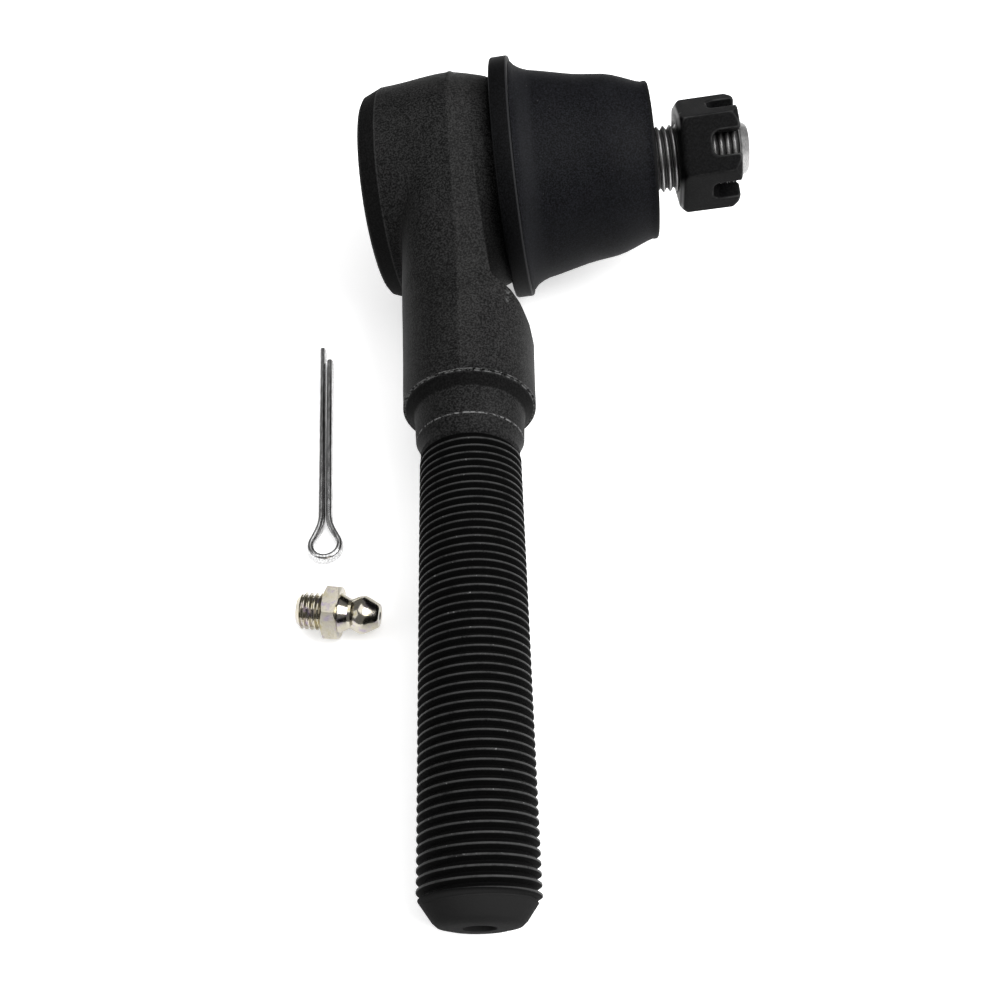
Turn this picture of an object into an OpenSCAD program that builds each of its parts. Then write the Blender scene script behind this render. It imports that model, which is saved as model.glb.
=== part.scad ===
// Tie rod end: forged socket with a threaded shank, spring-loaded ball stud, dust boot and castle nut,
// with its cotter pin and grease fitting lying loose beside it.
// Origin: centre of the ball. +X: along the stud, towards the nut. -Y: along the shank. +Z: up.
// Threads are plain cylinders at their major diameter.

/* [Shank] */
// Major diameter of the shank thread, 11/16-18
shank_d = 17.4625; // [15.5:0.0005:18]
// Ball centre to the end of the shank
shank_len = 142.2; // [125:0.1:165]
// Ball centre to the first thread
thread_from = 66.9; // [66:0.1:70]
// Length of the chamfer at the end of the shank
shank_chamfer = 3.7; // [2:0.1:5]
// Diameter of the centre-drilled hole in the end of the shank
centre_hole_d = 4.8; // [2:0.1:6]
// Ball centre to the sharp lower edge of the neck
neck_edge = 56.1; // [52:0.1:58]
// Diameter of the neck at that edge
neck_d = 23.4; // [21:0.1:24]

/* [Socket] */
// Largest diameter of the socket, at the forging's parting line
socket_d = 44; // [43:0.1:46]
// Ball centre to the closed end of the socket
socket_back = 18.6; // [18:0.1:20]
// Diameter of the cavity that holds the bearings
cavity_d = 31.2; // [30.8:0.1:32]
// Diameter of the socket's mouth, smaller than the ball
mouth_d = 20.8; // [20.4:0.1:22]

/* [Ball stud] */
// Diameter of the ball
ball_d = 23.8; // [23.4:0.1:24]
// Diameter of the neck between ball and taper
stud_neck_d = 12.8; // [11.5:0.1:13]
// Large diameter of the taper
taper_d = 16; // [15:0.1:16.4]
// Diameter lost per millimetre along the taper
taper_rate = 0.125; // [0.1:0.005:0.15]
// Major diameter of the stud thread, 1/2-20
stud_d = 12.7; // [12:0.05:13]
// Ball centre to the end of the stud
stud_end = 56.2; // [55:0.1:60]
// Diameter of the cross-hole for the cotter pin
cotter_hole_d = 2.8; // [2.4:0.1:3.2]

/* [Castle nut] */
// Width across the nut's flats
nut_af = 19.05; // [18:0.05:21]
// Ball centre to the nut's bearing face
nut_from = 42.5; // [42:0.1:44]
// Height of the nut
nut_h = 11.5; // [11:0.1:13]
// Width of each slot
slot_w = 4.6; // [3.5:0.1:5]
// Depth of each slot
slot_depth = 5.4; // [4:0.1:6]
// Turn of the nut, and of the cross-hole, about the stud
nut_turn = 8; // [0:1:59]

/* [Dust boot] */
// Diameter of the retaining flange
flange_d = 46.8; // [45:0.1:48]
// Ball centre to the near face of the flange
flange_from = 8.05; // [8:0.05:8.2]
// Thickness of the flange
flange_t = 3.65; // [3:0.05:4]
// Ball centre to the small end of the boot
boot_end = 37.8; // [37:0.1:38.5]
// Diameter of the small end of the boot
boot_small_d = 29.9; // [28:0.1:31]
// Wall of the boot
boot_wall = 1.8; // [1.2:0.1:2.2]

/* [Cotter pin] */
// Diameter of the two legs together
pin_d = 2.3; // [2:0.1:2.6]
// Bottom of the eye to the tip of the long leg
pin_len = 52.3; // [40:0.1:60]
// How much shorter the other leg is
pin_step = 3.5; // [1:0.1:6]
// Outer width of the eye
eye_w = 6.2; // [5.6:0.1:7]
// Outer length of the eye
eye_len = 10.7; // [9.5:0.1:12]

/* [Grease fitting] */
// Major diameter of the fitting's thread, 1/4-28
fitting_d = 6.35; // [6:0.05:6.5]
// Length of that thread
fitting_thread = 4.6; // [4:0.1:6]
// Width across the flats of its hexagon
fitting_af = 8.73; // [7.8:0.01:9]
// Diameter of its ball-shaped head
fitting_head_d = 6.5; // [6.4:0.05:6.7]
// Whole length
fitting_len = 13.9; // [13.5:0.1:14.5]

/* [Hidden] */

$fn = 96;
over = 1;                       // how far a cutter passes a face
run = 0.05;                     // radial clearance of a running fit
forged = "#2b2b2d";
rubber = "#232427";
steel = "#a5a6a8";
plated = "#c9c5b4";
plastic = "#d9d4c4";

shank_r = shank_d / 2;
socket_r = socket_d / 2;
cavity_r = cavity_d / 2;
mouth_r = mouth_d / 2;
ball_r = ball_d / 2;
stud_r = stud_d / 2;
neck_r = neck_d / 2;
flange_r = flange_d / 2;
fitting_r = fitting_d / 2;

// Socket, from the closed end to the mouth
rim_r = socket_r - 1.4;         // where the closed end's chamfer begins
rim_x = -socket_back + 3.4;
lip_r = socket_r - 4;
face_x = 7.7;                   // face that the boot's flange sits on
face_r = socket_r - 2;
spigot_r = 15;
spigot_end = 10.5;
shoulder_x = 6;                 // seat of the upper bearing, where the ball is narrower than the mouth
flare_r = 12.2;

// Cover and what it holds down
cover_x = -socket_back + 0.8;   // outer face
cover_t = 1.6;
cover_r = cavity_r + 1.6;
crimp_r = cavity_r + 0.8;
boss_r = 4.8;
boss_h = 1.8;
port_r = 2.75;                  // tapping size of the grease port
seat_bottom = ball_r + 1.3;
washer_t = 0.7;
spring_wire = 1.1;
spring_turns = 2;
spring_small_r = 8.6;
spring_large_r = 13.2;

// Stud
taper_from = 17;
taper_to = 36;
taper_small_r = taper_d / 2 - taper_rate * (taper_to - taper_from) / 2;
hole_x = nut_from + nut_h - slot_depth / 2;

// Boot
boot_x0 = flange_from + flange_t + 0.3;
end_ring_r = [taper_small_r + 1.7, taper_small_r + 3.7];
end_ring_x = [boot_end - 1.5, boot_end - 0.6];

// Grease fitting, from the end of its thread
hex_from = fitting_thread;
hex_to = fitting_thread + 2.7;
head_at = 11;
tip_r = 1.95;
bore_r = 1.25;
check_r = 1.1;
check_at = fitting_len - 1.45;  // seat of the check ball

// The flat surface that flange, socket rim and shank thread rest on carries the loose parts.
// Its normal leans by these two angles, and it passes this far below the ball's centre.
rest_roll = atan((flange_r - rim_r) / (flange_from - rim_x));
rest_drop = flange_r * cos(rest_roll) - flange_from * sin(rest_roll);
rest_pitch = asin((rest_drop - shank_r) / (shank_len - shank_chamfer));

// A point along the stud axis or the shank axis
module along_stud(x = 0) { translate([x, 0, 0]) rotate([0, 90, 0]) children(); }
module along_shank(s = 0) { translate([0, -s, 0]) rotate([90, 0, 0]) children(); }

// A solid of revolution from points [radius, distance along the axis]
module turned(points) { rotate_extrude() polygon(points); }

// A ring from two radii and two distances along the axis
module ring(r, x) { turned([[r[0], x[0]], [r[1], x[0]], [r[1], x[1]], [r[0], x[1]]]); }

// Puts a part, drawn around the origin and standing on z = 0, down on the rest surface
module on_table(u, v, turn) {
    rotate([-rest_pitch, rest_roll, 0]) translate([u, v, -rest_drop]) rotate([0, 0, turn]) children();
}

// Points on a helix: radius and height run from their first to their last value
function helix(r0, r1, h0, h1, turns, steps) =
    [for (i = [0:steps]) let (t = i / steps, a = 360 * turns * t, r = r0 + (r1 - r0) * t)
        [r * cos(a), r * sin(a), h0 + (h1 - h0) * t]];

// Round wire along a list of points that winds about the z axis
module wire(path, d, sides = 8) {
    last = len(path) - 1;
    points = [for (i = [0:last], k = [0:sides - 1])
        let (p = path[i], away = [p[0], p[1], 0] / norm([p[0], p[1]]), a = 360 * k / sides)
        p + d / 2 * (cos(a) * away + [0, 0, sin(a)])];
    sides_faces = [for (i = [0:last - 1], k = [0:sides - 1])
        let (a = i * sides + k, b = i * sides + (k + 1) % sides) [a, a + sides, b + sides, b]];
    ends = [[for (k = [0:sides - 1]) k], [for (k = [sides - 1:-1:0]) last * sides + k]];
    polyhedron(points, concat(sides_faces, ends));
}

module socket_outside() {
    along_stud() turned([
        [0, -socket_back], [lip_r, -socket_back], [lip_r + 1.6, -socket_back + 1.2], [rim_r, rim_x],
        [socket_r - 0.25, -2.5], [socket_r, 0], [face_r + 0.5, face_x - 1.5], [face_r - 0.2, face_x],
        [spigot_r, face_x], [spigot_r, spigot_end], [0, spigot_end]]);
}

module socket_inside() {
    along_stud() turned([
        [0, -socket_back - over], [crimp_r, -socket_back - over], [crimp_r, cover_x], [cover_r, cover_x],
        [cover_r, cover_x + cover_t], [cavity_r, cover_x + cover_t], [cavity_r, shoulder_x],
        [mouth_r, shoulder_x], [mouth_r, face_x], [flare_r, spigot_end], [flare_r, spigot_end + over],
        [0, spigot_end + over]]);
}

// Neck: a round bar and the web that runs into the socket, cut back for the boot's flange
module neck() {
    web_half = 9.5;
    bar_r = neck_r + 0.3;
    difference() {
        union() {
            along_shank(8) cylinder(h = 34, r = bar_r);
            along_shank(42) cylinder(h = neck_edge - 42, r1 = bar_r, r2 = neck_r);
            translate([-web_half, 0, 0]) rotate([90, 0, 90]) linear_extrude(2 * web_half)
                polygon([[-8, -20.2], [-8, 20.2], [-36, neck_r * 0.75], [-36, -neck_r * 0.75]]);
        }
        along_stud() turned([[0, 4.4], [24, 4.5], [34, 5.6], [36.2, 6.1], [37.3, 7.6], [37.8, 9.1],
                             [38.9, 10.5], [41, 11.7], [45, 12.4], [45, 20], [0, 20]]);
    }
}

// Collars below the neck, then the thread and its end
module shank() {
    collar_r = shank_r + 1;
    collar_end = 63.3;
    relief_r = shank_r - 0.1;
    along_shank() turned([
        [0, neck_edge - 1], [neck_r, neck_edge - 1], [neck_r, neck_edge], [collar_r, neck_edge + 2.1],
        [collar_r - 0.25, collar_end], [relief_r, collar_end + 0.9], [relief_r, thread_from],
        [shank_r, thread_from], [shank_r, shank_len - shank_chamfer], [shank_r - 2.4, shank_len],
        [0, shank_len]]);
}

module housing() {
    color(forged) difference() {
        union() {
            socket_outside();
            neck();
            shank();
        }
        socket_inside();
        along_shank(shank_len - 5) cylinder(h = 5 + over, d = centre_hole_d);
    }
}

module cover_plate() {
    color(forged) along_stud() difference() {
        union() {
            ring([0, cover_r - 0.02], [cover_x, cover_x + cover_t]);
            ring([0, boss_r], [cover_x + cover_t / 2, cover_x + cover_t + boss_h]);
        }
        translate([0, 0, cover_x - over]) cylinder(h = cover_t + boss_h + 2 * over, r = port_r);
    }
}

module upper_bearing() {
    color(plastic) along_stud() difference() {
        ring([0, cavity_r - 0.02], [0.3, shoulder_x - 0.02]);
        sphere(r = ball_r + run);
        cylinder(h = 2 * shoulder_x, r = mouth_r);
    }
}

module ball_seat() {
    grease_hole_r = 2.5;
    color(plastic) along_stud() difference() {
        turned([[0, -seat_bottom], [ball_r - 1, -seat_bottom], [cavity_r - run, -8], [cavity_r - run, -0.3],
                [0, -0.3]]);
        sphere(r = ball_r + run);
        translate([0, 0, -seat_bottom - over]) cylinder(h = 2 * over + 2, r = grease_hole_r);
    }
}

module spring_washer() {
    far = -seat_bottom - run - washer_t;
    color(steel) along_stud() ring([3, ball_r], [far, far + washer_t]);
}

module preload_spring() {
    near = -seat_bottom - 2 * run - washer_t - spring_wire / 2;
    far = cover_x + cover_t + run + spring_wire / 2;
    color(steel) along_stud()
        wire(helix(spring_small_r, spring_large_r, near, far, spring_turns, 24 * spring_turns), spring_wire);
}

module boot_flange() {
    round_r = 0.5;
    far = flange_from + flange_t;
    color(rubber) along_stud() turned([
        [spigot_r + run, flange_from], [flange_r - round_r, flange_from], [flange_r, flange_from + round_r],
        [flange_r, far - round_r], [flange_r - round_r, far], [spigot_r + run, far]]);
}

module dust_boot() {
    small_r = boot_small_d / 2;
    outside = [[21.6, boot_x0], [20.4, boot_x0 + 2], [19.6, 17.8], [18.1, 25], [17.7, 29], [17.1, 31],
               [small_r + 0.1, 36.2], [small_r, boot_end]];
    inside = [for (i = [6:-1:0]) [outside[i][0] - boot_wall, min(outside[i][1], boot_end - 2.6)]];
    seal_r = taper_small_r + 0.5;
    color(rubber) along_stud() difference() {
        turned(concat(outside, [[seal_r, boot_end], [seal_r, boot_end - 2.6]], inside));
        ring([end_ring_r[0] - run, end_ring_r[1] + run], [end_ring_x[0] - run, end_ring_x[1] + run]);
    }
}

module boot_end_ring() {
    color(steel) along_stud() ring(end_ring_r, end_ring_x);
}

module ball_stud() {
    chamfer = 1.4;
    color(steel) difference() {
        along_stud() union() {
            sphere(r = ball_r);
            turned([
                [0, 0], [stud_neck_d / 2, 0], [stud_neck_d / 2, taper_from - 1.2], [taper_d / 2, taper_from],
                [taper_small_r, taper_to], [stud_r, taper_to + 0.4], [stud_r, stud_end - chamfer],
                [stud_r - chamfer, stud_end], [0, stud_end]]);
        }
        translate([hole_x, 0, 0]) rotate([nut_turn, 0, 0]) rotate([90, 0, 0])
            cylinder(h = 2 * stud_d, d = cotter_hole_d, center = true);
    }
}

module castle_nut() {
    corner_r = nut_af / 2 / cos(30);
    crown_r = nut_af / 2 + 0.4;
    color(forged) difference() {
        intersection() {
            rotate([nut_turn, 0, 0]) along_stud(nut_from) cylinder(h = nut_h, r = corner_r, $fn = 6);
            along_stud(nut_from) turned([[0, 0], [crown_r - 0.6, 0], [corner_r, 0.9],
                [corner_r, nut_h - 1.2], [crown_r, nut_h], [0, nut_h]]);
        }
        along_stud(nut_from - over) cylinder(h = nut_h + 2 * over, r = stud_r + run);
        for (turn = [0:60:120]) rotate([nut_turn + turn, 0, 0]) {
            translate([nut_from + nut_h - slot_depth + slot_w / 2, 0, 0]) {
                rotate([90, 0, 0]) cylinder(h = 2 * nut_af, d = slot_w, center = true);
                translate([0, -nut_af, -slot_w / 2]) cube([slot_depth, 2 * nut_af, slot_w]);
            }
        }
    }
}

// Half-round wire profile, flat side on the left
module half_round() {
    intersection() {
        circle(d = pin_d, $fn = 32);
        translate([0, -pin_d]) square([pin_d, 2 * pin_d]);
    }
}

module cotter_pin() {
    wire_w = pin_d / 2;
    bend_r = eye_w / 2 - wire_w;            // inner radius of the eye
    leg_from = eye_len - eye_w / 2;         // where the legs meet
    gap = 0.03;
    wrap = 22;                              // how far the round part runs past its widest point
    color(steel) on_table(-26.77, -73.35, 3.7) translate([0, 0, pin_d / 2]) {
        rotate([0, 0, -180 - wrap]) rotate_extrude(angle = 180 + 2 * wrap, $fn = 64)
            translate([bend_r, 0]) half_round();
        for (side = [-1, 1]) {
            hull() {
                rotate([0, 0, side > 0 ? wrap : 180 - wrap]) translate([bend_r, 0, 0]) rotate([90, 0, 0])
                    linear_extrude(0.02) half_round();
                translate([side * gap, leg_from, 0]) rotate([90, 0, 0])
                    linear_extrude(0.02) scale([side, 1, 1]) half_round();
            }
            length = pin_len - eye_w / 2 - leg_from - (side > 0 ? pin_step : 0);
            translate([side * gap, leg_from + length, 0]) rotate([90, 0, 0])
                linear_extrude(length + 0.02) mirror([side > 0 ? 0 : 1, 0]) half_round();
        }
    }
}

// The fitting lies on a flat of its hexagon, thread towards -X
module fitting_place() {
    on_table(-29.74, -88.3, -6.95) translate([0, 0, fitting_af / 2]) rotate([0, 90, 0]) children();
}

module grease_fitting() {
    head_r = fitting_head_d / 2;
    color(plated) fitting_place() difference() {
        union() {
            translate([0, 0, hex_from]) rotate([0, 0, 30])
                cylinder(h = hex_to - hex_from, r = fitting_af / 2 / cos(30), $fn = 6);
            turned([[0, 0], [fitting_r - 0.6, 0], [fitting_r, 0.6], [fitting_r, hex_to - 0.5],
                    [3.5, hex_to - 0.5], [3.5, hex_to + 0.1], [2.7, hex_to + 1.5], [2.7, hex_to + 2.1],
                    [head_r - 0.2, head_at - 0.7], [head_r, head_at], [head_r - 0.25, head_at + 0.7],
                    [tip_r, fitting_len], [0, fitting_len]]);
        }
        translate([0, 0, -over]) cylinder(h = over + 4, r = 0.9, $fn = 48);
        translate([0, 0, 3]) cylinder(h = check_at - 3, r = bore_r, $fn = 48);
        translate([0, 0, check_at - 0.01]) cylinder(h = 0.9, r1 = bore_r, r2 = 0.7, $fn = 48);
        translate([0, 0, fitting_len - 1]) cylinder(h = over + 1, r = 0.7, $fn = 48);
    }
}

module fitting_check_ball() {
    color(steel) fitting_place() translate([0, 0, check_at - 0.25]) sphere(r = check_r, $fn = 48);
}

module fitting_spring() {
    spring_r = 0.85;
    spring_wire_d = 0.3;
    from = 3.2;
    to = check_at - 0.25 - check_r + 0.1;
    color(steel) fitting_place()
        wire(helix(spring_r, spring_r, from, to, 6, 96), spring_wire_d, 6);
}

housing();
cover_plate();
upper_bearing();
ball_seat();
spring_washer();
preload_spring();
boot_flange();
dust_boot();
boot_end_ring();
ball_stud();
castle_nut();
cotter_pin();
grease_fitting();
fitting_check_ball();
fitting_spring();
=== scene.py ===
# %% [markdown]
# # A tie rod end, modelled piece by piece
#
# A tie rod end joins a steering rod to a wheel. A forged socket holds a steel ball on a stud, a rubber
# boot keeps the grease in, and a castle nut with a cotter pin holds the stud in its arm. The threaded
# shank screws into the rod. The pin and the grease fitting lie loose beside it until it is mounted.
#
# The frame is the engineering model. Every piece below is put where the frame says, in metres, with the
# ball's centre at the origin, the stud along +X and the shank along -Y.

# %% The frame
import math

import bmesh
import bpy
from mathutils import Matrix, Vector


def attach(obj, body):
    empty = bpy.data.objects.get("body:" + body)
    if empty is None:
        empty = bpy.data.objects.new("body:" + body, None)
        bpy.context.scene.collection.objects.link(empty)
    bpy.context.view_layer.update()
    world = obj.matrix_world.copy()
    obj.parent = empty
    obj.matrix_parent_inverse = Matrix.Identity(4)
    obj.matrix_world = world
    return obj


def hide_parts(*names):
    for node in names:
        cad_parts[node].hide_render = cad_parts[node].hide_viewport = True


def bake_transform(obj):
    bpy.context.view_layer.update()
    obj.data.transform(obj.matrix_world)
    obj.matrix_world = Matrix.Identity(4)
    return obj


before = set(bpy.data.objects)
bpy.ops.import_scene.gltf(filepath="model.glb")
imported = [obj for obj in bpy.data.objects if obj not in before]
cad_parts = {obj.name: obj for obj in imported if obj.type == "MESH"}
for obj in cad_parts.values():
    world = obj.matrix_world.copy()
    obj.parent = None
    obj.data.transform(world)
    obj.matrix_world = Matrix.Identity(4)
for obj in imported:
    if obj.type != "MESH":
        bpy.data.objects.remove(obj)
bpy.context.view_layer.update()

MM = 0.001

# %% [markdown]
# ## The camera
#
# A camera is made before the pieces, so that a look at any stage shows them from the right side. The
# view is from above and in front of the shank, which makes the near end of the thread look larger. A
# lens of 38 mm on a 36 mm sensor gives that strong perspective, and a small shift does the framing.

# %% The camera
CAMERA_PLACE = (0.0228, -0.1663, 0.1499)
CAMERA_TURN = (30.98, 9.31, -0.94)      # degrees about X, Y and Z
LENS = 38.05
SHIFT = 0.0302

bpy.ops.object.select_all(action="DESELECT")
bpy.ops.object.camera_add(location=CAMERA_PLACE, rotation=[math.radians(turn) for turn in CAMERA_TURN])
camera = bpy.context.object
camera.data.sensor_width = 36
camera.data.lens = LENS
camera.data.shift_x = SHIFT
camera.data.clip_start = 0.005
bpy.context.scene.camera = camera
print("camera:", camera.data.lens, "mm lens")

# %% [markdown]
# ## The surface it lies on
#
# The part rests on three points: the rim of the boot's flange, the rim of the socket and the end of the
# thread. The plane through them leans a little against the frame's axes, so the floor is turned by the
# same two angles. The loose pieces stand on it too, so one matrix takes a drawing made flat on the
# ground to its place on that surface.

# %% The surface it lies on
FLANGE_R, FLANGE_X = 23.4, 8.05
RIM_R, RIM_X = 20.6, -15.2
SHANK_R, SHANK_TIP = 8.73125, 138.5

roll = math.atan((FLANGE_R - RIM_R) / (FLANGE_X - RIM_X))
drop = FLANGE_R * math.cos(roll) - FLANGE_X * math.sin(roll)
pitch = math.asin((drop - SHANK_R) / SHANK_TIP)
LEAN = Matrix.Rotation(roll, 4, "Y") @ Matrix.Rotation(-pitch, 4, "X")


def on_floor(across, along, turn=0):
    """The matrix that takes a drawing on the ground to a spot on the leaning floor, in millimetres."""
    spot = Matrix.Translation(Vector((across, along, -drop)) * MM)
    return LEAN @ spot @ Matrix.Rotation(math.radians(turn), 4, "Z")


bpy.ops.object.select_all(action="DESELECT")
bpy.ops.mesh.primitive_plane_add(size=6)
floor = bpy.context.object
floor.name = "floor"
floor.matrix_world = LEAN @ Matrix.Translation((0, 0, -drop * MM))
floor.visible_diffuse = False             # seen and mirrored, but throws no soft light back up
bpy.ops.object.transform_apply(location=True, rotation=True, scale=True)
print("floor leans", round(math.degrees(roll), 2), "and", round(math.degrees(pitch), 2), "degrees")

# %% [markdown]
# ## Helpers for modelling
#
# Most of this object is turned, drilled or threaded, so a few moves come back again and again: select
# one object alone, apply a modifier at once, add or take away one solid from another, and lay a piece
# drawn upright along the stud or the shank. Each is a small function that works as one does by hand.

# %% Helpers: selecting, modifiers and solids
ALONG_STUD = Matrix.Rotation(math.radians(90), 4, "Y")      # upright becomes +X
ALONG_SHANK = Matrix.Rotation(math.radians(90), 4, "X")     # upright becomes -Y
FULL_TURN = math.radians(360)


def only(obj):
    """Selects one object and nothing else."""
    bpy.ops.object.select_all(action="DESELECT")
    obj.select_set(True)
    bpy.context.view_layer.objects.active = obj
    return obj


def modify(obj, kind, **settings):
    """Adds a modifier with its settings and applies it."""
    only(obj)
    modifier = obj.modifiers.new(kind.title(), kind)
    for name, value in settings.items():
        setattr(modifier, name, value)
    bpy.ops.object.modifier_apply(modifier=modifier.name)
    return obj


def combine(obj, operation, *tools):
    """Unites obj with other solids, cuts them away or keeps what they share, then removes them."""
    for tool in tools:
        modify(obj, "BOOLEAN", operation=operation, object=tool, solver="MANIFOLD")
        bpy.data.objects.remove(tool)
        if not obj.data.polygons:
            raise RuntimeError(obj.name + " was lost in a " + operation)
    return obj


def lay(obj, matrix):
    """Turns and moves a drawn piece to its place, and keeps that place in its mesh."""
    only(obj)
    obj.matrix_world = matrix @ obj.matrix_world
    bpy.ops.object.transform_apply(location=True, rotation=True, scale=True)
    return obj


def tidy(obj):
    """Merges doubled points and turns every face outwards."""
    only(obj)
    bpy.ops.object.mode_set(mode="EDIT")
    bpy.ops.mesh.select_all(action="SELECT")
    bpy.ops.mesh.remove_doubles(threshold=1e-6)
    bpy.ops.mesh.normals_make_consistent(inside=False)
    bpy.ops.object.mode_set(mode="OBJECT")
    return obj


def smooth(obj, angle=30):
    """Smooth shading, with edges sharper than the angle kept crisp."""
    only(obj)
    bpy.ops.object.shade_smooth_by_angle(angle=math.radians(angle))
    return obj


def round_edges(obj, width, angle=25, segments=2):
    """A small bevel on every edge that is sharper than the angle."""
    return modify(obj, "BEVEL", width=width * MM, segments=segments, limit_method="ANGLE",
                  angle_limit=math.radians(angle), use_clamp_overlap=True)


# %% Helper: a turned solid
def turned(name, profile, steps=96):
    """A solid of revolution about Z. The profile's points are (radius, height) in millimetres."""
    bpy.ops.object.select_all(action="DESELECT")
    bpy.ops.mesh.primitive_plane_add(size=MM)
    obj = bpy.context.object
    obj.name = name
    bpy.ops.object.mode_set(mode="EDIT")
    bpy.ops.mesh.merge(type="CENTER")
    here = Vector((0, 0, 0))
    for radius, height in profile:
        there = Vector((radius, 0, height)) * MM
        if (radius, height) == profile[0]:
            bpy.ops.transform.translate(value=there - here)
        else:
            bpy.ops.mesh.extrude_vertices_move(TRANSFORM_OT_translate={"value": there - here})
        here = there
    bpy.ops.mesh.select_all(action="SELECT")
    if profile[0][0] or profile[-1][0]:
        bpy.ops.mesh.edge_face_add()
        bpy.ops.mesh.delete(type="ONLY_FACE")
        bpy.ops.mesh.select_all(action="SELECT")
    bpy.ops.mesh.spin(steps=steps, angle=FULL_TURN, center=(0, 0, 0), axis=(0, 0, 1))
    bpy.ops.object.mode_set(mode="OBJECT")
    return tidy(obj)


# %% Helper: a threaded rod
def thread_ridge(name, major, pitch, low, high, steps=64):
    """The raised helix of a 60-degree thread, from below low to above high, in millimetres."""
    depth = 0.6134 * pitch
    foot, crest = 0.47 * pitch, 0.07 * pitch
    sunk = 0.15 * pitch
    bpy.ops.object.select_all(action="DESELECT")
    bpy.ops.mesh.primitive_plane_add(size=MM)
    obj = bpy.context.object
    obj.name = name
    section = [(major - depth - sunk, -foot), (major - depth, 0.94 * -foot), (major, -crest),
               (major, crest), (major - depth, 0.94 * foot), (major - depth - sunk, foot)]
    bpy.ops.object.mode_set(mode="EDIT")
    bpy.ops.mesh.merge(type="CENTER")
    here = Vector((0, 0, 0))
    for radius, height in section:
        there = Vector((radius, 0, low - pitch + height)) * MM
        if here.length == 0:
            bpy.ops.transform.translate(value=there)
        else:
            bpy.ops.mesh.extrude_vertices_move(TRANSFORM_OT_translate={"value": there - here})
        here = there
    bpy.ops.mesh.select_all(action="SELECT")
    bpy.ops.mesh.edge_face_add()
    bpy.ops.mesh.delete(type="ONLY_FACE")
    bpy.ops.object.mode_set(mode="OBJECT")
    turns = math.ceil((high - low) / pitch) + 2
    modify(obj, "SCREW", axis="Z", angle=FULL_TURN, screw_offset=pitch * MM, iterations=turns,
           steps=steps, render_steps=steps, use_merge_vertices=False)
    bpy.ops.object.mode_set(mode="EDIT")
    bpy.ops.mesh.select_all(action="SELECT")
    bpy.ops.mesh.remove_doubles(threshold=1e-6)
    bpy.ops.mesh.select_all(action="SELECT")
    bpy.ops.mesh.fill_holes(sides=0)
    bpy.ops.object.mode_set(mode="OBJECT")
    return tidy(obj)


def threaded(name, major, pitch, outline, steps=64):
    """A threaded rod about Z. The outline is the turned shape that the thread is cut into."""
    low = min(height for radius, height in outline)
    high = max(height for radius, height in outline)
    core_r = major - 0.6134 * pitch
    rod = turned(name, [(0, low - 2 * pitch), (core_r, low - 2 * pitch),
                        (core_r, high + 2 * pitch), (0, high + 2 * pitch)], steps)
    combine(rod, "UNION", thread_ridge(name + "_ridge", major, pitch, low, high, steps))
    return combine(rod, "INTERSECT", turned(name + "_outline", outline, steps))


# %% [markdown]
# ## Helpers for finishes
#
# A finish is a small tree of shader nodes. Wiring it by hand in code hides the idea, so one class wraps
# an output socket and lets ordinary arithmetic add the Math nodes, and a second class starts a material
# and adds any other node. Patterns are measured in millimetres on the object itself.

# %% Helper: arithmetic on sockets
class Wire:
    """An output socket. Adding, multiplying and so on add Math nodes behind it."""

    def __init__(self, tree, socket):
        self.tree, self.socket = tree, socket

    def math(self, operation, *values):
        node = self.tree.nodes.new("ShaderNodeMath")
        node.operation = operation
        for socket, value in zip(node.inputs, values):
            plug(self.tree, socket, value)
        return Wire(self.tree, node.outputs[0])

    def __add__(self, other):
        return self.math("ADD", self, other)

    def __sub__(self, other):
        return self.math("SUBTRACT", self, other)

    def __rsub__(self, other):
        return self.math("SUBTRACT", other, self)

    def __mul__(self, other):
        return self.math("MULTIPLY", self, other)

    def __pow__(self, other):
        return self.math("POWER", self, other)

    def __abs__(self):
        return self.math("ABSOLUTE", self)

    __radd__, __rmul__ = __add__, __mul__


def plug(tree, socket, value):
    """Links a wire to an input, or sets the input's own value."""
    if isinstance(value, Wire):
        tree.links.new(value.socket, socket)
    else:
        socket.default_value = value


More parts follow.
